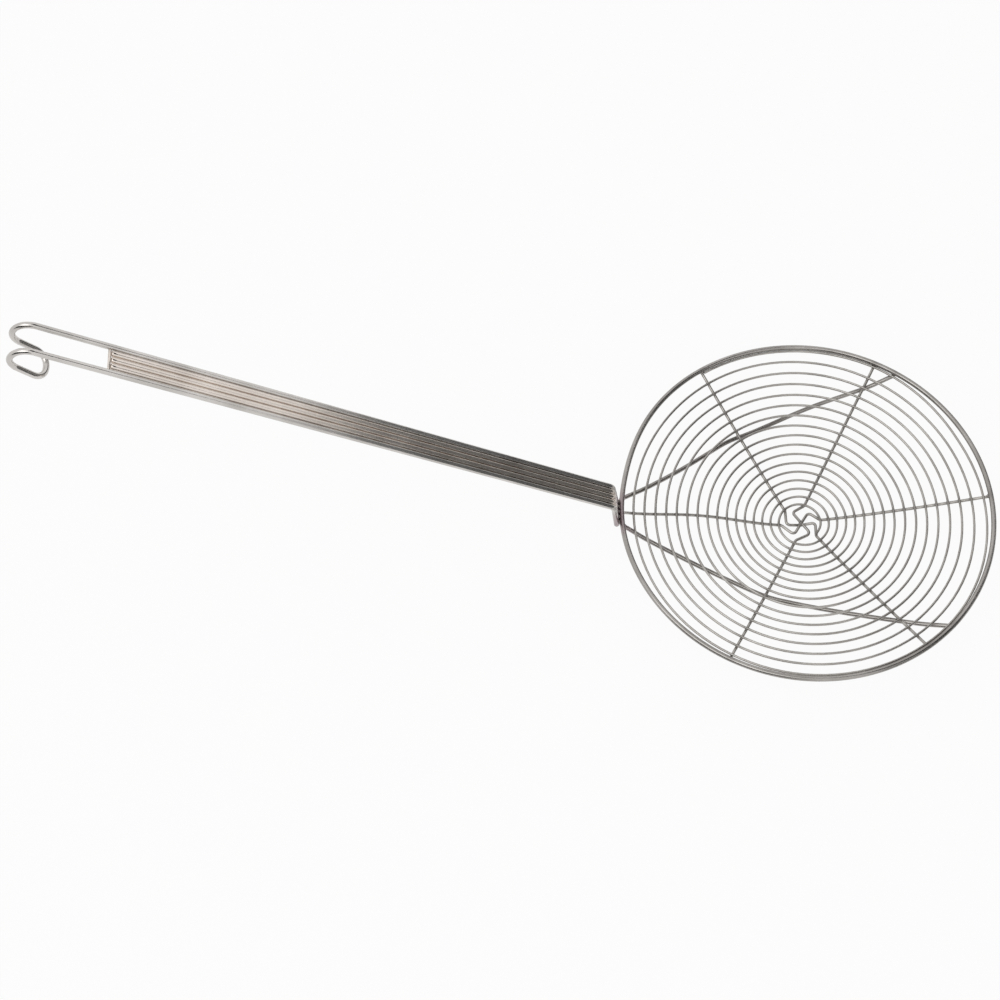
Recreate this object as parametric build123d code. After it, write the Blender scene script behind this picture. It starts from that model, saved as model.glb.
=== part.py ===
from build123d import *
import math
import os

# A spider skimmer: a shallow bowl of spiral wire in a ring rim, with a long
# handle of five wires side by side, two of which end in a hanging hook.
# Millimetres and degrees. While it is built, the rim ring lies in the plane
# Z = 0 round the origin and the handle leaves it towards -X, rising.

# Wire diameters
rim_wire_diameter = 2.8
spiral_wire_diameter = 1.3
rib_wire_diameter = 1.6
brace_wire_diameter = 2.4
handle_wire_diameter = 3.0
end_bar_diameter = 1.5

# Welded wires touch; this is the gap left between them
weld_gap = 0.05

# Share of a straight run that the bend at its end may use
bend_reach_share = 0.45

# Bowl
rim_radius = 100.0
bowl_depth = 19.6
bowl_power = 1.35
spiral_seat_angle = 30.0

# Spiral, wound clockwise from the rim inwards as seen from above. It starts beside a rib's end, lies
# against the rim up to the next rib's end, and leaves it there. It was wound by hand: its turns lie a
# little off the rim's centre and are slightly oval, and the outer ones wave in and out.
spiral_inner_radius = 9.7
spiral_start_angle = 119.0
spiral_leave_angle = 59.0
spiral_turns = 16.3
outer_pitch_share = 1.19
spiral_shift = 0.6
spiral_shift_angle = -77.0
spiral_oval = 0.65
spiral_oval_angle = 57.6
once_wave = 1.15
once_wave_angle = -91.0
twice_wave = 1.0
twice_wave_angle = -68.0
thrice_wave = 0.75
thrice_wave_angle = -27.5
wave_start_turns = 0.1
wave_fade_turns = 2.6
outer_turns = 4
arcs_per_outer_turn = 10
arcs_per_inner_turn = 4
direction_step_share = 0.0001

# Ribs: each wire makes two opposite arms and a crank at the hub. Each arm has its angle at the rim, at
# the outer corner of its crank and at the inner corner. They were bent by hand, so no two are alike, and
# the arm that comes to the handle has a bow.
back_right_rim_angle = 61.2
back_right_outer_angle = 74.2
back_right_inner_angle = 120.6
front_left_rim_angle = -119.5
front_left_outer_angle = -110.8
front_left_inner_angle = -53.0
right_rim_angle = 1.7
right_outer_angle = 7.8
right_inner_angle = 54.0
left_rim_angle = 179.5
left_outer_angle = 184.0
left_inner_angle = 237.0
front_right_rim_angle = -56.7
front_right_outer_angle = -47.0
front_right_inner_angle = 2.0
back_left_rim_angle = 119.4
back_left_outer_angle = 135.8
back_left_inner_angle = 184.0
left_arm_bow = 2.6
rib_points_per_arm = 9
crank_outer_radius = 11.0
crank_inner_radius = 8.0
crank_outer_bend_radius = 3.0
crank_inner_bend_radius = 2.0
hub_bend_radius = 2.0

# Brace: one wire, a closed end under the rim at the handle and two long arms
brace_corner_left = 8.5
brace_corner_right = 6.4
brace_corner_bend_radius = 4.0
brace_gap = 0.15
brace_knee_left_radius = 61.0
brace_knee_left_angle = 126.1
brace_knee_right_radius = 51.7
brace_knee_right_angle = -116.9
brace_end_left_angle = 54.2
brace_end_right_angle = -46.2
brace_far_bow = 2.4
brace_near_bow = 0.5
brace_points_per_leg = 7

# Handle
handle_slope_angle = 32.9
handle_pitch_at_rim = 3.05
handle_pitch_at_end = 3.4
shoulder_height = 17.2
shoulder_lean = 1.8
shoulder_bend_radius = 5.0
foot_depth = 2.9
inner_wire_length = 281.0
hook_bend_radius = 8.0
hook_turn_angle = 164.0
hook_straight = 0.4
hook_corner_distance = 323.4
hook_return_length = 22.1
hook_tip_bend_radius = 6.4


# Points of the bowl's surface

spiral_seat = (rim_wire_diameter + spiral_wire_diameter) / 2 + weld_gap
spiral_outer_radius = rim_radius - spiral_seat * math.cos(math.radians(spiral_seat_angle))
spiral_edge_height = -spiral_seat * math.sin(math.radians(spiral_seat_angle))
spiral_mean_pitch = (spiral_outer_radius - spiral_inner_radius) / spiral_turns
spiral_outer_pitch = spiral_mean_pitch * outer_pitch_share
spiral_pitch_change = (spiral_outer_pitch - spiral_mean_pitch) / spiral_turns
turns_on_rim = (spiral_start_angle - spiral_leave_angle) / 360

rib_below_spiral = (spiral_wire_diameter + rib_wire_diameter) / 2 + weld_gap
brace_below_rib = (rib_wire_diameter + brace_wire_diameter) / 2 + brace_gap
rib_end_height = -(rim_wire_diameter + rib_wire_diameter) / 2 - weld_gap
brace_end_height = -(rim_wire_diameter + brace_wire_diameter) / 2 - weld_gap

# The feet of the handle pass close by the outside of the rim, leaning out upwards, and the closed end
# of the brace lies under the rim, against the feet
handle_foot_distance = rim_radius + (rim_wire_diameter + handle_wire_diameter) / 2 + weld_gap
foot_lean_slope = shoulder_lean / shoulder_height
brace_bar_distance = (
    handle_foot_distance + brace_end_height * foot_lean_slope
    - (handle_wire_diameter + brace_wire_diameter) / 2 - weld_gap
)


def polar(radius, angle, height):
    turn = math.radians(angle)
    return Vector(radius * math.cos(turn), radius * math.sin(turn), height)


def bowl_height(radius):
    """Height of the spiral wire's centre at this radius."""
    rise_share = (radius / spiral_outer_radius) ** bowl_power
    return spiral_edge_height - bowl_depth * (1 - rise_share)


def bowl_slope(radius):
    return bowl_depth * bowl_power / spiral_outer_radius * (radius / spiral_outer_radius) ** (bowl_power - 1)


def height_below_bowl(radius, distance):
    """Height of a point that lies this distance square below the spiral's surface."""
    return bowl_height(radius) - distance * math.hypot(1, bowl_slope(radius))


# The arm of a rib that comes to the handle stops short of the closed end of the brace, with its end
# cut square to the arm's slope
rib_end_reach = rib_wire_diameter / 2 * bowl_slope(spiral_outer_radius)
rib_end_at_brace = brace_bar_distance - brace_wire_diameter / 2 - rib_end_reach - weld_gap


# Wires

def swept_wire(path, diameter):
    section = Plane(origin=path @ 0, z_dir=path % 0) * Circle(diameter / 2)
    return sweep(section, path=path)


def bent_wire(points, radii, diameter):
    return swept_wire(FilletPolyline(*points, radius=radii), diameter)


def gentle_radius(before, corner, after):
    """Radius of the largest arc that rounds a corner and leaves a little of both runs straight."""
    run_in = corner - before
    run_out = after - corner
    reach = bend_reach_share * min(run_in.length, run_out.length)
    return reach / math.tan(math.radians(run_in.get_angle(run_out)) / 2)


def biarc(start, start_direction, end, end_direction):
    """Two arcs that join two points and are tangent to both directions."""
    chord = end - start
    total = start_direction + end_direction
    spread = 2 * (1 - start_direction.dot(end_direction))
    along = chord.dot(total)
    reach = (math.sqrt(along ** 2 + spread * chord.dot(chord)) - along) / spread
    joint = (start + end + (start_direction - end_direction) * reach) / 2
    first = Edge.make_tangent_arc(start, start_direction, joint)
    second = Edge.make_tangent_arc(joint, first % 1, end)
    return [first, second]


# Rim

def make_rim():
    return Torus(rim_radius, rim_wire_diameter / 2)


# Spiral

def spiral_wave(turns, angle):
    """How far the winding by hand moves the wire out, this many turns after it leaves the rim."""
    waves = once_wave * math.cos(math.radians(angle - once_wave_angle))
    waves += twice_wave * math.cos(math.radians(2 * (angle - twice_wave_angle)))
    waves += thrice_wave * math.cos(math.radians(3 * (angle - thrice_wave_angle)))
    wave = waves * math.exp(-turns / wave_fade_turns)
    wave += spiral_shift * math.cos(math.radians(angle - spiral_shift_angle))
    oval_share = 1 - turns / spiral_turns
    wave += oval_share * spiral_oval * math.cos(math.radians(2 * (angle - spiral_oval_angle)))
    return wave * min(1, turns / wave_start_turns)


def spiral_point(turns):
    """A point of the spiral; turns counts from where it leaves the rim and is negative before that."""
    angle = spiral_leave_angle - 360 * turns
    free_turns = max(0, turns)
    radius = spiral_outer_radius - spiral_outer_pitch * free_turns + spiral_pitch_change * free_turns ** 2
    radius = min(spiral_outer_radius, radius + spiral_wave(free_turns, angle))
    return polar(radius, angle, bowl_height(radius))


def spiral_direction(turns):
    after = spiral_point(turns + direction_step_share)
    return (after - spiral_point(turns - direction_step_share)).normalized()


def spiral_self_gap():
    """Least gap between neighbouring turns, measured on points."""
    samples_per_turn = 36
    count = int((spiral_turns + turns_on_rim) * samples_per_turn)
    points = [spiral_point(index / samples_per_turn - turns_on_rim) for index in range(count + 1)]
    least = min(
        (points[index] - points[other]).length
        for index in range(count + 1)
        for other in range(index + samples_per_turn // 2, min(index + 2 * samples_per_turn, count + 1))
    )
    return least - spiral_wire_diameter


def make_spiral():
    outer_count = outer_turns * arcs_per_outer_turn
    inner_turns = spiral_turns - outer_turns
    inner_count = math.ceil(inner_turns * arcs_per_inner_turn)
    places = [-turns_on_rim, -direction_step_share]
    places += [outer_turns * index / outer_count for index in range(1, outer_count)]
    places += [outer_turns + inner_turns * index / inner_count for index in range(inner_count + 1)]
    edges = []
    for place, following in zip(places, places[1:]):
        edges += biarc(
            spiral_point(place), spiral_direction(place),
            spiral_point(following), spiral_direction(following),
        )
    path = Wire(edges)
    solid = swept_wire(path, spiral_wire_diameter)
    full_volume = path.length * math.pi * spiral_wire_diameter ** 2 / 4
    print(f"spiral: length {path.length:.0f}, volume share {solid.volume / full_volume:.4f}, "
          f"least gap to itself {spiral_self_gap():.2f}")
    return solid


# Ribs

def bowed_points(start, end, bow, count, below_spiral):
    """Points between two ends of a run, each one this far square below the spiral's surface. The run bows
    to its left by bow."""
    sideways = Vector(0, 0, 1).cross(end - start).normalized()
    points = []
    for index in range(1, count):
        share = index / count
        plan = start + (end - start) * share + sideways * (4 * bow * share * (1 - share))
        radius = math.hypot(plan.X, plan.Y)
        points.append(Vector(plan.X, plan.Y, height_below_bowl(radius, below_spiral)))
    return points


def rib_arm(end, corner_angle, inner_angle, bow=0):
    """Points of one arm, from its end to the inner corner of its crank."""
    corner_height = height_below_bowl(crank_outer_radius, rib_below_spiral)
    corner = polar(crank_outer_radius, corner_angle, corner_height)
    run = bowed_points(end, corner, bow, rib_points_per_arm, rib_below_spiral)
    inner_height = height_below_bowl(crank_inner_radius, rib_below_spiral)
    inner = polar(crank_inner_radius, inner_angle, inner_height)
    return [end] + run + [corner, inner]


def end_under_rim(angle):
    return polar(rim_radius, angle, rib_end_height)


def end_at_brace(angle):
    return polar(rib_end_at_brace, angle, brace_end_height)


def make_rib(first_arm, second_arm, level):
    """One rib wire; level is the number of wire diameters that it passes the hub above the middle rib."""
    hub_height = height_below_bowl(0, rib_below_spiral) + level * (rib_wire_diameter + weld_gap)
    points = first_arm + [Vector(0, 0, hub_height)] + second_arm[::-1]
    radii = [gentle_radius(*points[index - 1:index + 2]) for index in range(1, len(points) - 1)]
    radii[len(first_arm) - 1] = hub_bend_radius
    outer_corner = len(first_arm) - 3
    for index in (outer_corner, len(radii) - 1 - outer_corner):
        radii[index] = crank_outer_bend_radius
    for index in (outer_corner + 1, len(radii) - 2 - outer_corner):
        radii[index] = crank_inner_bend_radius
    return bent_wire(points, radii, rib_wire_diameter)


def make_rib_a():
    back = rib_arm(end_under_rim(back_right_rim_angle), back_right_outer_angle, back_right_inner_angle)
    front = rib_arm(end_under_rim(front_left_rim_angle), front_left_outer_angle, front_left_inner_angle)
    return make_rib(back, front, 1)


def make_rib_b():
    right = rib_arm(end_under_rim(right_rim_angle), right_outer_angle, right_inner_angle)
    left = rib_arm(end_at_brace(left_rim_angle), left_outer_angle, left_inner_angle, left_arm_bow)
    return make_rib(right, left, 0)


def make_rib_c():
    front = rib_arm(end_under_rim(front_right_rim_angle), front_right_outer_angle, front_right_inner_angle)
    back = rib_arm(end_under_rim(back_left_rim_angle), back_left_outer_angle, back_left_inner_angle)
    return make_rib(front, back, -1)


# Brace

def brace_arm(corner_width, knee_radius, knee_angle, end_angle, far_bow=0, near_bow=0):
    """Points of one arm, from the far rim to the corner at the handle."""
    below_spiral = rib_below_spiral + brace_below_rib
    end = polar(rim_radius, end_angle, brace_end_height)
    knee = polar(knee_radius, knee_angle, height_below_bowl(knee_radius, below_spiral))
    corner = Vector(-brace_bar_distance, corner_width, brace_end_height)
    far_leg = bowed_points(end, knee, far_bow, brace_points_per_leg, below_spiral)
    near_leg = bowed_points(knee, corner, near_bow, brace_points_per_leg, below_spiral)
    return [end] + far_leg + [knee] + near_leg + [corner]


def make_brace():
    left = brace_arm(
        brace_corner_left, brace_knee_left_radius, brace_knee_left_angle, brace_end_left_angle,
        -brace_far_bow, brace_near_bow,
    )
    right = brace_arm(
        -brace_corner_right, brace_knee_right_radius, brace_knee_right_angle, brace_end_right_angle,
    )
    points = left + right[::-1]
    radii = [gentle_radius(*points[index - 1:index + 2]) for index in range(1, len(points) - 1)]
    corner_index = len(left) - 2
    radii[corner_index] = brace_corner_bend_radius
    radii[corner_index + 1] = brace_corner_bend_radius
    return bent_wire(points, radii, brace_wire_diameter)


# Handle

def handle_point(along, above, row):
    """A point of the handle: along its slope from the shoulder, above its wires, in this row of wires."""
    slope = math.radians(handle_slope_angle)
    pitch = handle_pitch_at_rim + (handle_pitch_at_end - handle_pitch_at_rim) * along / inner_wire_length
    return Vector(
        -handle_foot_distance - shoulder_lean - along * math.cos(slope) + above * math.sin(slope),
        row * pitch,
        shoulder_height + along * math.sin(slope) + above * math.cos(slope),
    )


def handle_foot(row):
    place = handle_foot_distance - foot_depth * foot_lean_slope
    return Vector(-place, row * handle_pitch_at_rim, -foot_depth)


def make_inner_wire(row):
    points = [handle_foot(row), handle_point(0, 0, row), handle_point(inner_wire_length, 0, row)]
    return bent_wire(points, [shoulder_bend_radius], handle_wire_diameter)


def hook_leg_points(row):
    """Points of one leg of the hook wire, from its foot to the corner of the closed tip."""
    half_turn = math.radians(hook_turn_angle / 2)
    side = 2 * hook_bend_radius * math.tan(half_turn / 2) + hook_straight
    down_along = hook_corner_distance + side * math.cos(half_turn)
    down_above = -side * math.sin(half_turn)
    tip_along = down_along + hook_return_length * math.cos(2 * half_turn)
    tip_above = down_above - hook_return_length * math.sin(2 * half_turn)
    return [
        handle_foot(row),
        handle_point(0, 0, row),
        handle_point(hook_corner_distance, 0, row),
        handle_point(down_along, down_above, row),
        handle_point(tip_along, tip_above, row),
    ]


def make_hook_wire():
    left = hook_leg_points(2)
    right = hook_leg_points(-2)
    leg_radii = [shoulder_bend_radius, hook_bend_radius, hook_bend_radius, hook_tip_bend_radius]
    return bent_wire(left + right[::-1], leg_radii + leg_radii[::-1], handle_wire_diameter)


def make_end_bar():
    along = inner_wire_length + end_bar_diameter / 2 + weld_gap
    left = handle_point(along, 0, 2)
    right = handle_point(along, 0, -2)
    length = (left - right).length - handle_wire_diameter - 2 * weld_gap
    bar = Cylinder(end_bar_diameter / 2, length, rotation=(90, 0, 0))
    return Pos((left + right) / 2) * bar


# Assembly, moved so that the origin is under the middle of the whole object, on the surface it stands on

nodes = {
    "rim_wire": make_rim(),
    "spiral_wire": make_spiral(),
    "rib_wire_a": make_rib_a(),
    "rib_wire_b": make_rib_b(),
    "rib_wire_c": make_rib_c(),
    "brace_wire": make_brace(),
    "hook_wire": make_hook_wire(),
    "handle_wire_left": make_inner_wire(1),
    "handle_wire_middle": make_inner_wire(0),
    "handle_wire_right": make_inner_wire(-1),
    "handle_end_bar": make_end_bar(),
}

extent = Compound(children=[Compound(node.wrapped) for node in nodes.values()]).bounding_box()
shift = Pos(-extent.center().X, -extent.center().Y, -extent.min.Z)
print(f"box {extent.size.X:.2f} x {extent.size.Y:.2f} x {extent.size.Z:.2f}, "
      f"rim centre at {-extent.center().X:.2f}, {-extent.center().Y:.2f}, {-extent.min.Z:.2f}")

os.makedirs("parts", exist_ok=True)
for name, node in nodes.items():
    export_step(shift * node, f"parts/{name}.step")
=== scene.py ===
import math

import bpy
import numpy as np
from mathutils import Matrix, Vector


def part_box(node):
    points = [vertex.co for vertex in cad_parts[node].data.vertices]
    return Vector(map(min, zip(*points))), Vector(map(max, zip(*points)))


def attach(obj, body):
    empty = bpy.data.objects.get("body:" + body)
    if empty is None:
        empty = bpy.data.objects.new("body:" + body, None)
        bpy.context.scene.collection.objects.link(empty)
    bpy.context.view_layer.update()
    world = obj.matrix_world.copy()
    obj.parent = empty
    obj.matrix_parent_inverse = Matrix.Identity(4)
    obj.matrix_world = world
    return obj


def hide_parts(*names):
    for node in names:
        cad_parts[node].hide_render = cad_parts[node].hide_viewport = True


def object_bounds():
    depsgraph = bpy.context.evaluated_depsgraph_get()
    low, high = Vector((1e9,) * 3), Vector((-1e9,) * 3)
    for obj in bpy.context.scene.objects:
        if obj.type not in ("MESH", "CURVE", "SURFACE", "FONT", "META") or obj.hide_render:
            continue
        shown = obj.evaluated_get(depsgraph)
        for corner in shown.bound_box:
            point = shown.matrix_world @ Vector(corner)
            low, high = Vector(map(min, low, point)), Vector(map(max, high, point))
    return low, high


# A spider skimmer in bright drawn wire: ring rim, spiral bowl, ribs, brace and a five-wire handle.
# Metres and degrees. Places are worked out round the middle of the rim, and moved to the frame's
# own place when a mesh is made.

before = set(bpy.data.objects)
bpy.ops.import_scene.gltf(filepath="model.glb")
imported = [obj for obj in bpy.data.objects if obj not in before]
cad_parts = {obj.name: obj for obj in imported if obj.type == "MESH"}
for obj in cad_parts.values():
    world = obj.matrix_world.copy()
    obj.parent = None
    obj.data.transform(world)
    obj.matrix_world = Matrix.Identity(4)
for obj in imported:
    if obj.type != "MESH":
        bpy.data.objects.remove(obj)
cad_low, cad_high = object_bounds()
MM = 0.001


# Sizes taken from the frame

rim_low, rim_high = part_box("rim_wire")
rim_centre = (rim_low + rim_high) / 2
rim_wire_radius = (rim_high.z - rim_low.z) / 2
rim_radius = (rim_high.y - rim_low.y) / 2 - rim_wire_radius
middle_low, middle_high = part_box("handle_wire_middle")
handle_wire_radius = (middle_high.y - middle_low.y) / 2


# Sizes that the frame doesn't give

spiral_wire_radius = 0.65 * MM
rib_wire_radius = 0.8 * MM
brace_wire_radius = 1.2 * MM
end_bar_radius = 0.75 * MM
weld_gap = 0.05 * MM
brace_gap = 0.15 * MM

bowl_depth = 19.6 * MM
bowl_power = 1.35
spiral_seat_angle = 30.0
spiral_inner_radius = 9.7 * MM
spiral_start_angle = 119.0
spiral_leave_angle = 59.0
spiral_turns = 16.3
outer_pitch_share = 1.19
spiral_shift = 0.6 * MM
spiral_shift_angle = -77.0
spiral_oval = 0.65 * MM
spiral_oval_angle = 57.6
once_wave = 1.15 * MM
once_wave_angle = -91.0
twice_wave = 1.0 * MM
twice_wave_angle = -68.0
thrice_wave = 0.75 * MM
thrice_wave_angle = -27.5
wave_start_turns = 0.1
wave_fade_turns = 2.6
spiral_waver = 0.05 * MM
# Waves in a turn and phase of each part of the waver
spiral_waver_parts = ((3.1, 0.0), (7.3, 0.9), (1.9, 2.6))

rim_dent = 1.6 * MM
rim_dent_angle = 164.0
rim_dent_spread_before = 15.0
rim_dent_spread_after = 11.0

crank_outer_radius = 11.0 * MM
crank_inner_radius = 8.0 * MM
crank_outer_bend_radius = 3.0 * MM
crank_inner_bend_radius = 2.0 * MM
hub_bend_radius = 2.0 * MM
left_arm_bow = 2.6 * MM
rib_step = 1.0 * MM
rib_smoothing_passes = 4
# Rim, outer corner and inner corner angle of each arm
rib_arm_angles = {
    "back_right": (61.2, 74.2, 120.6),
    "front_left": (-119.5, -110.8, -53.0),
    "right": (1.7, 7.8, 54.0),
    "left": (179.5, 184.0, 237.0),
    "front_right": (-56.7, -47.0, 2.0),
    "back_left": (119.4, 135.8, 184.0),
}

brace_corner_left = 8.5 * MM
brace_corner_right = 6.4 * MM
brace_corner_bend_radius = 4.0 * MM
brace_knee_bend_radius = 60.0 * MM
brace_knee_left = (61.0 * MM, 126.1)
brace_knee_right = (51.7 * MM, -116.9)
brace_end_left_angle = 54.2
brace_end_right_angle = -46.2
brace_far_bow = 2.4 * MM
brace_near_bow = 0.5 * MM
brace_rise_start = 88.5 * MM
brace_rise_end = 98.8 * MM
brace_arc_steps = 16
brace_smoothing_passes = 6

handle_slope_angle = 32.9
handle_pitch_at_rim = 3.05 * MM
handle_pitch_at_end = 3.4 * MM
shoulder_height = 17.2 * MM
shoulder_lean = 1.8 * MM
shoulder_bend_radius = 5.0 * MM
foot_depth = 2.9 * MM
inner_wire_length = 281.0 * MM
hook_bend_radius = 8.0 * MM
hook_turn_angle = 164.0
hook_straight = 0.4 * MM
hook_corner_distance = 323.4 * MM
hook_return_length = 22.1 * MM
hook_tip_bend_radius = 6.4 * MM
hook_arc_steps = 14
handle_step = 2.5 * MM

# Half sizes of the weld fillets, and where they and their dull spots end
spiral_weld = Vector((0.95, 0.95, 0.5)) * MM
brace_weld = Vector((1.3, 1.3, 0.7)) * MM
foot_weld = Vector((0.6, 1.2, 1.3)) * MM
end_weld_inset = 0.6 * MM
rim_clearance = 4 * MM
handle_clearance = 3 * MM
weld_mark_reach = 2.4 * MM

box_margin = 0.005 * MM


# Sizes that follow

spiral_seat = rim_wire_radius + spiral_wire_radius + weld_gap
spiral_outer_radius = rim_radius - spiral_seat * math.cos(math.radians(spiral_seat_angle))
spiral_edge_height = -spiral_seat * math.sin(math.radians(spiral_seat_angle))
spiral_mean_pitch = (spiral_outer_radius - spiral_inner_radius) / spiral_turns
spiral_outer_pitch = spiral_mean_pitch * outer_pitch_share
spiral_pitch_change = (spiral_outer_pitch - spiral_mean_pitch) / spiral_turns
turns_on_rim = (spiral_start_angle - spiral_leave_angle) / 360
rib_below_spiral = spiral_wire_radius + rib_wire_radius + weld_gap
brace_below_spiral = rib_below_spiral + rib_wire_radius + brace_wire_radius + brace_gap
rib_end_height = -rim_wire_radius - rib_wire_radius - weld_gap
brace_end_height = -rim_wire_radius - brace_wire_radius - weld_gap
handle_foot_distance = rim_radius + rim_wire_radius + handle_wire_radius + weld_gap
foot_lean_slope = shoulder_lean / shoulder_height
brace_bar_distance = (
    handle_foot_distance + brace_end_height * foot_lean_slope
    - handle_wire_radius - brace_wire_radius - weld_gap
)


# Shape of the bowl

def polar(radius, angle, height=0.0):
    turn = math.radians(angle)
    return Vector((radius * math.cos(turn), radius * math.sin(turn), height))


def bowl_height(radius):
    return spiral_edge_height - bowl_depth * (1 - (radius / spiral_outer_radius) ** bowl_power)


def bowl_slope(radius):
    share = radius / spiral_outer_radius
    return bowl_depth * bowl_power / spiral_outer_radius * share ** (bowl_power - 1)


def height_below_bowl(radius, distance):
    return bowl_height(radius) - distance * math.hypot(1, bowl_slope(radius))


def dent(angle):
    """How far the rim is pressed in beside the handle."""
    off = (angle - rim_dent_angle + 180) % 360 - 180
    spread = rim_dent_spread_before if off < 0 else rim_dent_spread_after
    return rim_dent * math.exp(-(off / spread) ** 2 / 2)


rib_end_reach = rib_wire_radius * bowl_slope(spiral_outer_radius)
rib_end_at_brace = brace_bar_distance - brace_wire_radius - rib_end_reach - weld_gap


# Routes of the wires

def bent_route(corners, radii, bows=None, step=1.5 * MM, arc_steps=10):
    """Points along straight or slightly bowed legs with a round bend at each inner corner."""
    bows = bows or [0.0] * (len(corners) - 1)
    reaches = [0.0]
    for before, corner, after, radius in zip(corners, corners[1:], corners[2:], radii):
        turn = (corner - before).angle(after - corner)
        reaches.append(radius * math.tan(turn / 2))
    reaches.append(0.0)
    route = []
    for index, (start, end) in enumerate(zip(corners, corners[1:])):
        leg = end - start
        first = reaches[index] / leg.length
        last = 1 - reaches[index + 1] / leg.length
        sideways = Vector((0, 0, 1)).cross(leg).normalized()
        count = max(2, math.ceil(leg.length * (last - first) / step))
        points = []
        for place in range(count + 1):
            share = first + (last - first) * place / count
            bow = bows[index] * math.sin(math.pi * share) ** 2
            points.append(start + leg * share + sideways * bow)
        if route:
            route += round_bend(route[-1], start, points[0], arc_steps)
        route += points
    return route


def round_bend(start, corner, end, steps):
    """Inner points of the circular arc that is tangent to both runs."""
    weight = math.cos((corner - start).angle(end - corner) / 2)
    points = []
    for place in range(1, steps):
        t = place / steps
        a, b, c = (1 - t) ** 2, 2 * weight * t * (1 - t), t ** 2
        points.append((start * a + corner * b + end * c) / (a + b + c))
    return points


def smoothed_heights(route, passes):
    heights = [point.z for point in route]
    for _ in range(passes):
        inner = [(a + 2 * b + c) / 4 for a, b, c in zip(heights, heights[1:], heights[2:])]
        heights = [heights[0]] + inner + [heights[-1]]
    return [Vector((point.x, point.y, height)) for point, height in zip(route, heights)]


def spiral_wave(turns, angle):
    """How far the winding by hand moves the wire out, this many turns after it leaves the rim."""
    waves = once_wave * math.cos(math.radians(angle - once_wave_angle))
    waves += twice_wave * math.cos(math.radians(2 * (angle - twice_wave_angle)))
    waves += thrice_wave * math.cos(math.radians(3 * (angle - thrice_wave_angle)))
    wave = waves * math.exp(-turns / wave_fade_turns)
    wave += spiral_shift * math.cos(math.radians(angle - spiral_shift_angle))
    oval_share = 1 - turns / spiral_turns
    wave += oval_share * spiral_oval * math.cos(math.radians(2 * (angle - spiral_oval_angle)))
    turn = 2 * math.pi * turns
    wave += spiral_waver * sum(math.sin(count * turn + phase) for count, phase in spiral_waver_parts)
    return wave * min(1, turns / wave_start_turns)


def spiral_radius(turns, angle):
    """Turns counts from where the wire leaves the rim and is negative before that."""
    free_turns = max(0.0, turns)
    radius = spiral_outer_radius - spiral_outer_pitch * free_turns + spiral_pitch_change * free_turns ** 2
    return min(spiral_outer_radius, radius + spiral_wave(free_turns, angle))


def spiral_point(turns):
    angle = spiral_leave_angle - 360 * turns
    radius = spiral_radius(turns, angle)
    return polar(radius, angle, bowl_height(radius))


def spiral_route(points_per_turn=110):
    all_turns = spiral_turns + turns_on_rim
    count = math.ceil(all_turns * points_per_turn)
    return [spiral_point(all_turns * index / count - turns_on_rim) for index in range(count + 1)]


def rim_route(count=240):
    route = []
    for index in range(count):
        angle = 360 * index / count
        route.append(polar(rim_radius - dent(angle), angle))
    return route


def rib_route(first_name, second_name, level):
    """One rib: end, crank, hub, crank, end, lifted on to the underside of the spiral."""
    corners, ends = [], []
    for name in (first_name, second_name):
        rim_angle, outer_angle, inner_angle = rib_arm_angles[name]
        end_radius = rib_end_at_brace if name == "left" else rim_radius
        arm = [
            polar(end_radius, rim_angle), polar(crank_outer_radius, outer_angle),
            polar(crank_inner_radius, inner_angle),
        ]
        corners.append(arm)
        ends.append(brace_end_height if name == "left" else rib_end_height)
    bends = [crank_outer_bend_radius, crank_inner_bend_radius]
    bows = [0.0] * 5 + [-left_arm_bow if second_name == "left" else 0.0]
    plan = bent_route(
        corners[0] + [Vector((0, 0, 0))] + corners[1][::-1],
        bends + [hub_bend_radius] + bends[::-1], bows, step=rib_step,
    )
    hub_height = height_below_bowl(0, rib_below_spiral) + level * (2 * rib_wire_radius + weld_gap)
    middle = len(plan) // 2
    route = []
    for index, point in enumerate(plan):
        radius = math.hypot(point.x, point.y)
        surface = height_below_bowl(max(radius, crank_inner_radius), rib_below_spiral)
        share = max(0.0, 1 - radius / crank_inner_radius)
        height = surface + (hub_height - surface) * share
        end_height = ends[0] if index < middle else ends[1]
        route.append(Vector((point.x, point.y, min(height, end_height))))
    return smoothed_heights(route, rib_smoothing_passes)


def brace_route():
    far_left = polar(rim_radius, brace_end_left_angle)
    far_right = polar(rim_radius, brace_end_right_angle)
    corners = [
        far_left, polar(*brace_knee_left), Vector((-brace_bar_distance, brace_corner_left, 0)),
        Vector((-brace_bar_distance, -brace_corner_right, 0)), polar(*brace_knee_right), far_right,
    ]
    radii = [
        brace_knee_bend_radius, brace_corner_bend_radius, brace_corner_bend_radius,
        brace_knee_bend_radius,
    ]
    bows = [-brace_far_bow, brace_near_bow, 0.0, 0.0, 0.0]
    plan = bent_route(corners, radii, bows, arc_steps=brace_arc_steps)
    low = height_below_bowl(brace_rise_start, brace_below_spiral)
    route = []
    for point in plan:
        radius = math.hypot(point.x, point.y)
        if radius < brace_rise_start:
            height = height_below_bowl(radius, brace_below_spiral)
        else:
            share = min(1.0, (radius - brace_rise_start) / (brace_rise_end - brace_rise_start))
            height = low + (brace_end_height - low) * share
        route.append(Vector((point.x, point.y, height)))
    return smoothed_heights(route, brace_smoothing_passes)


def handle_point(along, above, row):
    slope = math.radians(handle_slope_angle)
    pitch = handle_pitch_at_rim + (handle_pitch_at_end - handle_pitch_at_rim) * along / inner_wire_length
    return Vector((
        -handle_foot_distance - shoulder_lean - along * math.cos(slope) + above * math.sin(slope),
        row * pitch,
        shoulder_height + along * math.sin(slope) + above * math.cos(slope),
    ))


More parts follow.
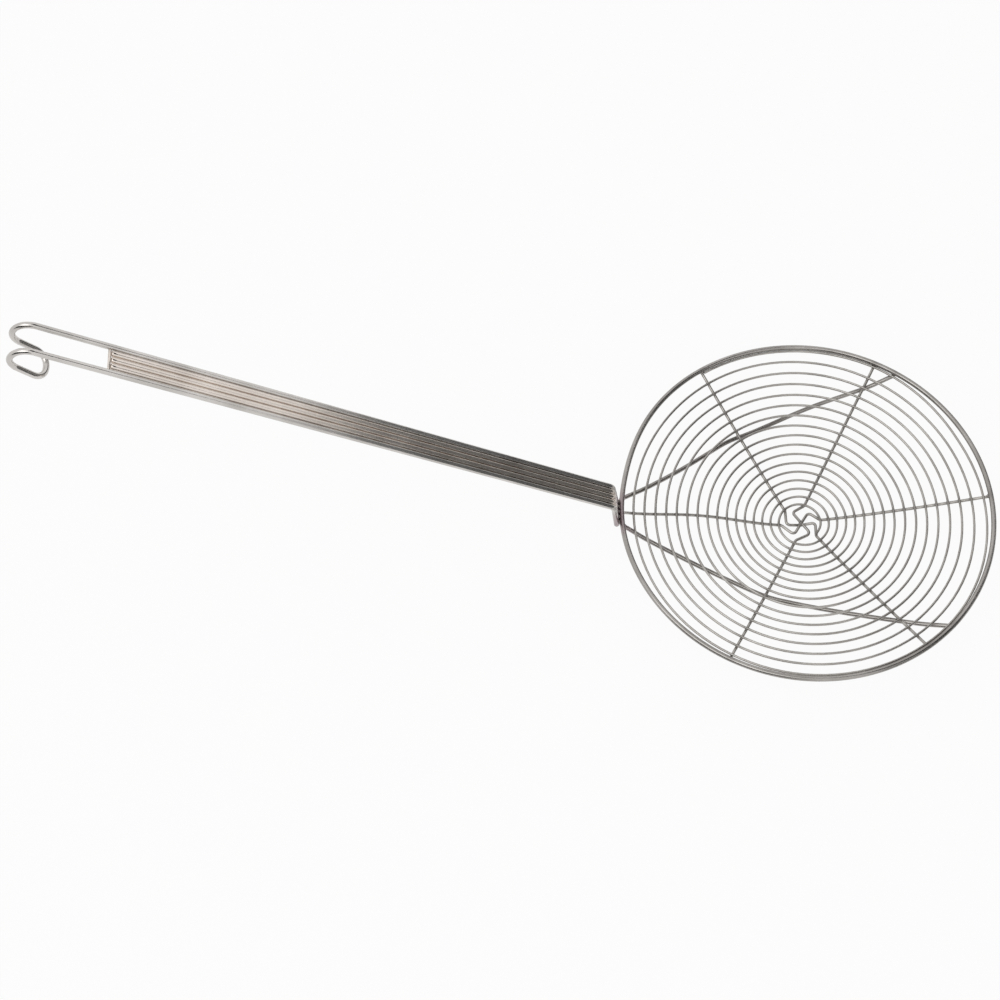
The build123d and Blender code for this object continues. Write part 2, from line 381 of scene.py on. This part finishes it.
def dent_at_row(row):
    return dent(math.degrees(math.atan2(row * handle_pitch_at_rim, -rim_radius)))


def handle_foot(row):
    """The end of a foot, which leans in to the rim where that is pressed in."""
    lean = dent_at_row(row) * (shoulder_height + foot_depth) / shoulder_height
    place = handle_foot_distance - foot_depth * foot_lean_slope - lean
    return Vector((-place, row * handle_pitch_at_rim, -foot_depth))


def inner_wire_route(row):
    corners = [handle_foot(row), handle_point(0, 0, row), handle_point(inner_wire_length, 0, row)]
    return bent_route(corners, [shoulder_bend_radius], step=handle_step)


def hook_leg(row):
    half_turn = math.radians(hook_turn_angle / 2)
    side = 2 * hook_bend_radius * math.tan(half_turn / 2) + hook_straight
    down_along = hook_corner_distance + side * math.cos(half_turn)
    down_above = -side * math.sin(half_turn)
    tip_along = down_along + hook_return_length * math.cos(2 * half_turn)
    tip_above = down_above - hook_return_length * math.sin(2 * half_turn)
    return [
        handle_foot(row),
        handle_point(0, 0, row),
        handle_point(hook_corner_distance, 0, row),
        handle_point(down_along, down_above, row),
        handle_point(tip_along, tip_above, row),
    ]


def hook_route():
    radii = [shoulder_bend_radius, hook_bend_radius, hook_bend_radius, hook_tip_bend_radius]
    corners = hook_leg(2) + hook_leg(-2)[::-1]
    return bent_route(corners, radii + radii[::-1], step=handle_step, arc_steps=hook_arc_steps)


def end_bar_route():
    along = inner_wire_length + end_bar_radius + weld_gap
    left = handle_point(along, 0, 2)
    right = handle_point(along, 0, -2)
    reach = (left - right).normalized() * (handle_wire_radius + weld_gap)
    return [left - reach, right + reach]


# Welds: where one wire lies on another

def spiral_crossings(route):
    """Points where a route under the spiral passes each of its turns."""
    largest_change = 3 * MM
    found = []
    for before, after in zip(route, route[1:]):
        for turn in range(math.ceil(spiral_turns)):
            offs = []
            for point in (before, after):
                angle = math.degrees(math.atan2(point.y, point.x))
                turns = (spiral_leave_angle - angle) % 360 / 360 + turn
                if turns > spiral_turns:
                    offs = []
                    break
                offs.append(math.hypot(point.x, point.y) - spiral_radius(turns, angle))
            if len(offs) == 2 and offs[0] * offs[1] <= 0 and abs(offs[0] - offs[1]) < largest_change:
                share = offs[0] / (offs[0] - offs[1]) if offs[0] != offs[1] else 0.5
                found.append(before.lerp(after, share))
    return found


def plan_crossings(first, second):
    """Points of the first route where it passes over or under the second one."""
    too_far = 6 * MM
    nearly_parallel = 1e-12
    found = []
    for a, b in zip(first, first[1:]):
        for c, d in zip(second, second[1:]):
            if (a - c).length > too_far:
                continue
            along = b - a
            across = d - c
            turn = along.x * across.y - along.y * across.x
            if abs(turn) < nearly_parallel:
                continue
            t = ((c.x - a.x) * across.y - (c.y - a.y) * across.x) / turn
            u = ((c.x - a.x) * along.y - (c.y - a.y) * along.x) / turn
            if 0 <= t < 1 and 0 <= u < 1:
                found.append(a.lerp(b, t))
    return found


routes = {
    "rim": rim_route(),
    "spiral": spiral_route(),
    "rib_a": rib_route("back_right", "front_left", 1),
    "rib_b": rib_route("right", "left", 0),
    "rib_c": rib_route("front_right", "back_left", -1),
    "brace": brace_route(),
    "hook": hook_route(),
    "handle_left": inner_wire_route(1),
    "handle_middle": inner_wire_route(0),
    "handle_right": inner_wire_route(-1),
    "end_bar": end_bar_route(),
}


def weld_places():
    """Place and half sizes of each weld between two wires that cross or touch."""
    welds = []
    up = Vector((0, 0, 1))
    inward = 1 - end_weld_inset / rim_radius
    for name in ("rib_a", "rib_b", "rib_c"):
        route = routes[name]
        for point in spiral_crossings(route):
            if point.length < rim_radius - rim_clearance:
                welds.append((point + up * rib_wire_radius, spiral_weld))
        for point in plan_crossings(route, routes["brace"]):
            welds.append((point - up * rib_wire_radius, brace_weld))
        for end in (route[0], route[-1]):
            if end.x > handle_clearance - rim_radius:
                welds.append((end * inward + up * rib_wire_radius, brace_weld))
    for end in (routes["brace"][0], routes["brace"][-1]):
        welds.append((end + up * brace_wire_radius, brace_weld))
    for row in range(-2, 3):
        place = handle_foot_distance - handle_wire_radius - dent_at_row(row)
        welds.append((Vector((-place, row * handle_pitch_at_rim, 0)), foot_weld))
    hub = routes["rib_b"][len(routes["rib_b"]) // 2]
    for level in (-0.5, 0.5):
        welds.append((Vector((0, 0, hub.z + level * 2 * rib_wire_radius)), brace_weld))
    return welds


welds = weld_places()
weld_points = np.array([list(place) for place, _ in welds])


# Meshes

def in_scene(name, data):
    """A new object with this data, linked to the scene."""
    thing = bpy.data.objects.new(name, data)
    bpy.context.scene.collection.objects.link(thing)
    return thing


def kept_in_box(point):
    """A point in the frame's own place, moved in where it would leave the CAD model's box."""
    place = point + rim_centre
    return [
        min(max(value, low + box_margin), high - box_margin)
        for value, low, high in zip(place, cad_low, cad_high)
    ]


def wire_frames(route, closed):
    """Two cross directions at each point, carried along without twist."""
    nearly_upright = 0.9
    count = len(route)
    tangents = []
    for index, point in enumerate(route):
        before = route[index - 1] if index or closed else point
        after = route[(index + 1) % count] if index < count - 1 or closed else point
        tangents.append((after - before).normalized())
    start = Vector((0, 0, 1)) if abs(tangents[0].z) < nearly_upright else Vector((1, 0, 0))
    side = start.cross(tangents[0]).normalized()
    frames = []
    for index, tangent in enumerate(tangents):
        if index:
            side = tangents[index - 1].rotation_difference(tangent) @ side
            side = (side - tangent * side.dot(tangent)).normalized()
        frames.append((side, tangent.cross(side)))
    return frames


def add_wire(name, route, radius, sides, material, cad_node, closed=False, heat=None):
    """A round wire along a route, with cut ends whose edges are slightly rounded."""
    frames = wire_frames(route, closed)
    lengths = [0.0]
    for before, after in zip(route, route[1:]):
        lengths.append(lengths[-1] + (after - before).length)
    rings = [(point, pair, 1.0, length) for point, pair, length in zip(route, frames, lengths)]
    if not closed:
        rings = rounded_ends(rings, radius)
    vertices, grain, marks = [], [], []
    for point, (side, up), share, along in rings:
        near = np.linalg.norm(weld_points - np.array(point), axis=1).min()
        mark = math.exp(-(near / weld_mark_reach) ** 2)
        warm = heat(point) if heat else 0.0
        for corner in range(sides):
            turn = 2 * math.pi * corner / sides
            out = side * math.cos(turn) + up * math.sin(turn)
            vertices.append(kept_in_box(point + out * radius * share))
            grain.append((math.cos(turn), math.sin(turn), along / radius))
            marks.append((mark, warm))
    faces = []
    ring_count = len(rings)
    for ring in range(ring_count if closed else ring_count - 1):
        following = (ring + 1) % ring_count
        for corner in range(sides):
            other = (corner + 1) % sides
            faces.append((
                ring * sides + corner, ring * sides + other,
                following * sides + other, following * sides + corner,
            ))
    if not closed:
        faces.append(tuple(range(sides))[::-1])
        faces.append(tuple(range((ring_count - 1) * sides, ring_count * sides)))
    mesh = bpy.data.meshes.new(name)
    mesh.from_pydata(vertices, [], faces)
    mesh.polygons.foreach_set("use_smooth", [len(face) == 4 for face in faces])
    for label, values in (("grain", grain), ("marks", [(a, b, 0.0) for a, b in marks])):
        attribute = mesh.attributes.new(label, "FLOAT_VECTOR", "POINT")
        attribute.data.foreach_set("vector", [part for value in values for part in value])
    mesh.materials.append(material)
    piece = in_scene(name, mesh)
    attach(piece, "root")
    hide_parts(cad_node)


def rounded_ends(rings, radius):
    """Swaps the end rings for three that round the cut's edge off."""
    # Way back from the end, and size, as shares of the wire's radius
    shapes = ((0.0, 0.72), (0.1, 0.9), (0.28, 1.0))
    first, second = rings[0], rings[1]
    last, previous = rings[-1], rings[-2]
    inward = (second[0] - first[0]).normalized()
    outward = (last[0] - previous[0]).normalized()
    head = [(first[0] + inward * radius * back, first[1], share, first[3]) for back, share in shapes]
    tail = [(last[0] - outward * radius * back, last[1], share, last[3]) for back, share in shapes[::-1]]
    return head + rings[1:-1] + tail


def ball_faces(start, rows, columns):
    """Faces of a ball whose points run row by row from its top to its bottom."""
    def number(row, column):
        return start + 1 + (row - 1) * columns + column % columns

    bottom = number(rows, 0)
    faces = []
    for column in range(columns):
        faces.append((start, number(1, column), number(1, column + 1)))
        faces.append((bottom, number(rows - 1, column + 1), number(rows - 1, column)))
        for row in range(1, rows - 1):
            faces.append((
                number(row, column), number(row + 1, column),
                number(row + 1, column + 1), number(row, column + 1),
            ))
    return faces


def add_welds(material):
    """All the small weld fillets between wires, as one piece of separate flattened balls."""
    vertices, faces = [], []
    rows, columns = 6, 12
    for place, half in welds:
        start = len(vertices)
        for row in range(rows + 1):
            tilt = math.pi * row / rows
            for column in range(columns if 0 < row < rows else 1):
                turn = 2 * math.pi * column / columns
                out = Vector((
                    half.x * math.sin(tilt) * math.cos(turn),
                    half.y * math.sin(tilt) * math.sin(turn), half.z * math.cos(tilt),
                ))
                vertices.append(kept_in_box(place + out))
        faces += ball_faces(start, rows, columns)
    mesh = bpy.data.meshes.new("weld_spots")
    mesh.from_pydata(vertices, [], faces)
    mesh.polygons.foreach_set("use_smooth", [True] * len(faces))
    mesh.materials.append(material)
    piece = in_scene("weld_spots", mesh)
    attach(piece, "root")


# Materials

def new_material(name):
    material = bpy.data.materials.new(name)
    material.use_nodes = True
    nodes = material.node_tree.nodes
    nodes.clear()
    return material, nodes, material.node_tree.links


def mix_colour(nodes, links, factor, first, second):
    mix = nodes.new("ShaderNodeMix")
    mix.data_type = "RGBA"
    sockets = (mix.inputs["Factor"], mix.inputs["A"], mix.inputs["B"])
    for socket, value in zip(sockets, (factor, first, second)):
        if hasattr(value, "is_linked"):
            links.new(value, socket)
        elif isinstance(value, float):
            socket.default_value = value
        else:
            socket.default_value = (*value, 1)
    return mix.outputs["Result"]


def span(nodes, links, value, from_low, from_high, to_low, to_high):
    node = nodes.new("ShaderNodeMapRange")
    node.inputs["From Min"].default_value = from_low
    node.inputs["From Max"].default_value = from_high
    node.inputs["To Min"].default_value = to_low
    node.inputs["To Max"].default_value = to_high
    links.new(value, node.inputs["Value"])
    return node.outputs["Result"]


def noise(nodes, links, place, scale, detail):
    node = nodes.new("ShaderNodeTexNoise")
    node.inputs["Scale"].default_value = scale
    node.inputs["Detail"].default_value = detail
    links.new(place, node.inputs["Vector"])
    return node.outputs["Fac"]


def add_output(nodes, links, surface):
    output = nodes.new("ShaderNodeOutputMaterial")
    links.new(surface, output.inputs["Surface"])


def add_metal(nodes, links, colour, roughness, relief, strength, depth):
    """A metal surface of this colour and roughness, with a fine relief."""
    shader = nodes.new("ShaderNodeBsdfPrincipled")
    shader.inputs["Metallic"].default_value = 1.0
    links.new(colour, shader.inputs["Base Color"])
    links.new(roughness, shader.inputs["Roughness"])
    bump = nodes.new("ShaderNodeBump")
    bump.inputs["Strength"].default_value = strength
    bump.inputs["Distance"].default_value = depth
    links.new(relief, bump.inputs["Height"])
    links.new(bump.outputs["Normal"], shader.inputs["Normal"])
    add_output(nodes, links, shader.outputs["BSDF"])


def wire_material(name, light, dark, smooth, rough):
    """Bright drawn wire: fine lines along it, cloudy plating, and dull spots round the welds."""
    weld_shade = 0.72
    weld_dulling = 0.16
    line_stretch = (9, 9, 0.06)
    material, nodes, links = new_material(name)
    grain = nodes.new("ShaderNodeAttribute")
    grain.attribute_name = "grain"
    marks = nodes.new("ShaderNodeAttribute")
    marks.attribute_name = "marks"
    split = nodes.new("ShaderNodeSeparateXYZ")
    links.new(marks.outputs["Vector"], split.inputs["Vector"])
    weld_mark, warmth = split.outputs["X"], split.outputs["Y"]
    place = nodes.new("ShaderNodeTexCoord")
    stretch = nodes.new("ShaderNodeMapping")
    stretch.inputs["Scale"].default_value = line_stretch
    links.new(grain.outputs["Vector"], stretch.inputs["Vector"])
    lines = noise(nodes, links, stretch.outputs["Vector"], scale=1, detail=3)
    clouds = noise(nodes, links, place.outputs["Object"], scale=60, detail=4)

    cloudiness = span(nodes, links, clouds, 0.35, 0.65, 0, 1)
    colour = mix_colour(nodes, links, cloudiness, light, dark)
    streaks = span(nodes, links, lines, 0.45, 0.7, 0, 0.35)
    colour = mix_colour(nodes, links, streaks, colour, dark)
    colour = mix_colour(nodes, links, weld_mark, colour, tuple(part * weld_shade for part in dark))
    colour = mix_colour(nodes, links, warmth, colour, heat_colour)

    roughness = nodes.new("ShaderNodeMath")
    roughness.operation = "ADD"
    links.new(span(nodes, links, lines, 0.3, 0.7, smooth, rough), roughness.inputs[0])
    links.new(span(nodes, links, weld_mark, 0, 1, 0, weld_dulling), roughness.inputs[1])
    add_metal(nodes, links, colour, roughness.outputs[0], lines, strength=0.12, depth=0.03 * MM)
    return material


def weld_material():
    """Dull plating over the weld metal, pitted at a fine scale."""
    hollow_colour = (0.26, 0.24, 0.23)
    top_colour = (0.42, 0.4, 0.38)
    material, nodes, links = new_material("weld_metal")
    place = nodes.new("ShaderNodeTexCoord")
    pits = noise(nodes, links, place.outputs["Object"], scale=1800, detail=3)
    colour = mix_colour(nodes, links, pits, hollow_colour, top_colour)
    roughness = span(nodes, links, pits, 0.3, 0.7, 0.34, 0.55)
    add_metal(nodes, links, colour, roughness, pits, strength=0.4, depth=0.05 * MM)
    return material


heat_colour = (0.33, 0.26, 0.275)
heat_reach = 15 * MM
heat_fade = 0.5


def joint_heat(point):
    """1 at the joint of handle and rim, where welding has tinted the metal, fading to 0."""
    off = (point - Vector((-handle_foot_distance, 0, 0))).length
    return max(0.0, 1 - off / heat_reach) ** heat_fade


# One plated steel wire throughout, given lighter and darker copies as painted light and shade: the handle
# and hook wires lighter, the rim darker, and the brace darkest, as painted shade under the bowl's wires.
rim_metal = wire_material("rim_wire_metal", (0.42, 0.4, 0.382), (0.3, 0.285, 0.27), 0.2, 0.3)
bowl_metal = wire_material("bowl_wire_metal", (0.48, 0.458, 0.434), (0.36, 0.34, 0.32), 0.2, 0.3)
brace_metal_painted_shade = wire_material("brace_wire_metal_painted_shade", (0.36, 0.341, 0.324), (0.25, 0.235, 0.222), 0.2, 0.3)
hook_metal_painted_light = wire_material("hook_wire_metal_painted_light", (0.64, 0.616, 0.594), (0.51, 0.487, 0.466), 0.12, 0.2)
handle_metal_painted_light = wire_material("handle_wire_metal_painted_light", (0.77, 0.706, 0.652), (0.64, 0.578, 0.528), 0.1, 0.18)


# The pieces

add_wire("rim", routes["rim"], rim_wire_radius, 20, rim_metal, "rim_wire",
         closed=True, heat=joint_heat)
add_wire("spiral", routes["spiral"], spiral_wire_radius, 12, bowl_metal, "spiral_wire")
for letter in "abc":
    add_wire(f"rib_{letter}", routes[f"rib_{letter}"], rib_wire_radius, 14, bowl_metal,
             f"rib_wire_{letter}")
add_wire("brace", routes["brace"], brace_wire_radius, 16, brace_metal_painted_shade, "brace_wire",
         heat=joint_heat)
add_wire("hook", routes["hook"], handle_wire_radius, 20, hook_metal_painted_light, "hook_wire",
         heat=joint_heat)
for side_name in ("left", "middle", "right"):
    add_wire(f"handle_{side_name}", routes[f"handle_{side_name}"], handle_wire_radius, 20, handle_metal_painted_light,
             f"handle_wire_{side_name}", heat=joint_heat)
add_wire("end_bar", routes["end_bar"], end_bar_radius, 12, handle_metal_painted_light, "handle_end_bar")
add_welds(weld_material())


# Floor, painted dark reflections and light

def ray_is_seen(nodes, links):
    """1 for rays that show the background: from the camera, in metal and through glass."""
    path = nodes.new("ShaderNodeLightPath")
    total = path.outputs["Is Camera Ray"]
    for name in ("Is Glossy Ray", "Is Transmission Ray"):
        add = nodes.new("ShaderNodeMath")
        add.operation = "ADD"
        add.use_clamp = True
        links.new(total, add.inputs[0])
        links.new(path.outputs[name], add.inputs[1])
        total = add.outputs[0]
    return total


def make_floor():
    """Pale paper under the object, which looks nearly white but keeps the object's shadow."""
    half = 8.0
    height = cad_low.z - 0.3 * MM
    paper_level = 0.86
    white_share = 0.92
    mesh = bpy.data.meshes.new("floor")
    corners = [(x, y, height) for x, y in ((-half, -half), (half, -half), (half, half), (-half, half))]
    mesh.from_pydata(corners, [], [(0, 1, 2, 3)])
    material, nodes, links = new_material("floor_paper")
    paper = nodes.new("ShaderNodeBsdfDiffuse")
    paper.inputs["Color"].default_value = (paper_level, paper_level, paper_level, 1)
    white = nodes.new("ShaderNodeEmission")
    white.inputs["Color"].default_value = (1, 1, 1, 1)
    white.inputs["Strength"].default_value = 1.0
    share = nodes.new("ShaderNodeMath")
    share.operation = "MULTIPLY"
    share.inputs[1].default_value = white_share
    links.new(ray_is_seen(nodes, links), share.inputs[0])
    mix = nodes.new("ShaderNodeMixShader")
    links.new(share.outputs[0], mix.inputs["Fac"])
    links.new(paper.outputs["BSDF"], mix.inputs[1])
    links.new(white.outputs["Emission"], mix.inputs[2])
    add_output(nodes, links, mix.outputs["Shader"])
    mesh.materials.append(material)
    floor = in_scene("floor", mesh)


def add_dark_reflection_sheet(name, vertices, faces, level):
    """A dark sheet beside the light that only the metal shows, as a painted dark reflection."""
    mesh = bpy.data.meshes.new(name)
    mesh.from_pydata(vertices, [], faces)
    material, nodes, links = new_material(name)
    surface = nodes.new("ShaderNodeBsdfDiffuse")
    surface.inputs["Color"].default_value = (level, level, level, 1)
    add_output(nodes, links, surface.outputs["BSDF"])
    mesh.materials.append(material)
    reflection_sheet = in_scene(name, mesh)
    reflection_sheet.visible_camera = False
    reflection_sheet.visible_diffuse = False
    reflection_sheet.visible_shadow = False
    reflection_sheet.visible_transmission = False


def arch_height(angle, base, radius, level):
    """Height of a wall whose edge lies on one cone round the handle's line, as the handle's wires show
    it: level is the cosine of the cone's half angle."""
    ahead = math.cos(math.radians(handle_slope_angle)) * math.cos(math.radians(angle))
    down = math.sin(math.radians(handle_slope_angle))
    rise = math.acos(level / math.hypot(ahead, down)) - math.atan2(down, ahead)
    return base + radius * math.tan(rise)


def add_wall(name, radius, angles, tops, level):
    """A curved dark sheet that stands on the floor, seen only in the metal as a painted dark reflection.
    """
    vertices = [polar(radius, angle, cad_low.z) for angle in angles]
    vertices += [polar(radius, angle, top) for angle, top in zip(angles, tops)]
    count = len(angles)
    faces = [(index, index + 1, count + index + 1, count + index) for index in range(count - 1)]
    add_dark_reflection_sheet(name, vertices, faces, level)


def make_dark_reflections():
    """Painted dark reflections, as sheets that only the metal shows: an arch beyond the bowl, a wall on
    the camera's side and a strip overhead.
    """
    wall_radius = 2.0
    wall_base = 0.12
    wall_half_angle = 57
    arch_level = 0.373
    columns = 28
    angles = [wall_half_angle * (2 * index / columns - 1) for index in range(columns + 1)]
    tops = [arch_height(angle, wall_base, wall_radius, arch_level) for angle in angles]
    add_wall("arch_dark_reflection", wall_radius, angles, tops, level=0.2)

    side_start = 205
    side_end = 270
    side_top = 1.8
    angles = [side_start + (side_end - side_start) * index / columns for index in range(columns + 1)]
    add_wall("side_dark_reflection", wall_radius, angles, [side_top] * len(angles), level=0.06)

    towards = Vector((0.49, 0.01, 0.872)).normalized()
    lie = Vector((0.483, -0.836, -0.259))
    across = towards.cross(lie).normalized()
    along = across.cross(towards)
    strip_distance = 6.0
    strip_half_width = 1.48
    strip_half_length = 2.64
    middle = rim_centre + towards * strip_distance
    corners = [
        middle + across * first * strip_half_width + along * second * strip_half_length
        for first, second in ((-1, -1), (1, -1), (1, 1), (-1, 1))
    ]
    add_dark_reflection_sheet("overhead_dark_reflection", corners, [(0, 1, 2, 3)], level=0.05)


def make_world():
    """A grey sky that looks white from the camera and in the metal."""
    grey, white = (0.62, 0.62, 0.62), (1.0, 1.0, 1.0)
    world = bpy.data.worlds.new("studio")
    bpy.context.scene.world = world
    world.use_nodes = True
    nodes, links = world.node_tree.nodes, world.node_tree.links
    nodes.clear()
    back = nodes.new("ShaderNodeBackground")
    links.new(mix_colour(nodes, links, ray_is_seen(nodes, links), grey, white), back.inputs["Color"])
    back.inputs["Strength"].default_value = 1.0
    output = nodes.new("ShaderNodeOutputWorld")
    links.new(back.outputs["Background"], output.inputs["Surface"])


def add_soft_box(name, place, aim, size, watts):
    light = bpy.data.lights.new(name, "AREA")
    light.shape = "RECTANGLE"
    light.size, light.size_y = size
    light.energy = watts
    lamp = in_scene(name, light)
    lamp.location = place
    lamp.rotation_mode = "QUATERNION"
    lamp.rotation_quaternion = (aim - place).to_track_quat("-Z", "Y")


make_floor()
make_dark_reflections()
make_world()
add_soft_box("key_soft_box", Vector((-0.9, -0.9, 1.9)), aim=Vector((0, 0, 0)), size=(1.9, 1.9), watts=14)


# Camera, at the place the photograph was taken from

def make_camera():
    place = rim_centre + Vector((-173.7, -450.8, 888.5)) * MM
    aim = rim_centre + Vector((-164.5, 9.6, 0)) * MM
    roll = math.radians(-0.9)
    forward = (aim - place).normalized()
    level = forward.cross(Vector((0, 0, 1))).normalized()
    right = level * math.cos(roll) + level.cross(forward) * math.sin(roll)
    up = right.cross(forward)
    camera = bpy.data.cameras.new("photo_camera")
    camera.lens = 66.79
    camera.sensor_width = 36
    camera.clip_start = 0.01
    camera.clip_end = 50
    holder = in_scene("photo_camera", camera)
    turn = Matrix((right, up, -forward)).transposed()
    holder.matrix_world = Matrix.Translation(place) @ turn.to_4x4()
    bpy.context.scene.camera = holder


make_camera()
bpy.context.scene.view_settings.view_transform = "Standard"
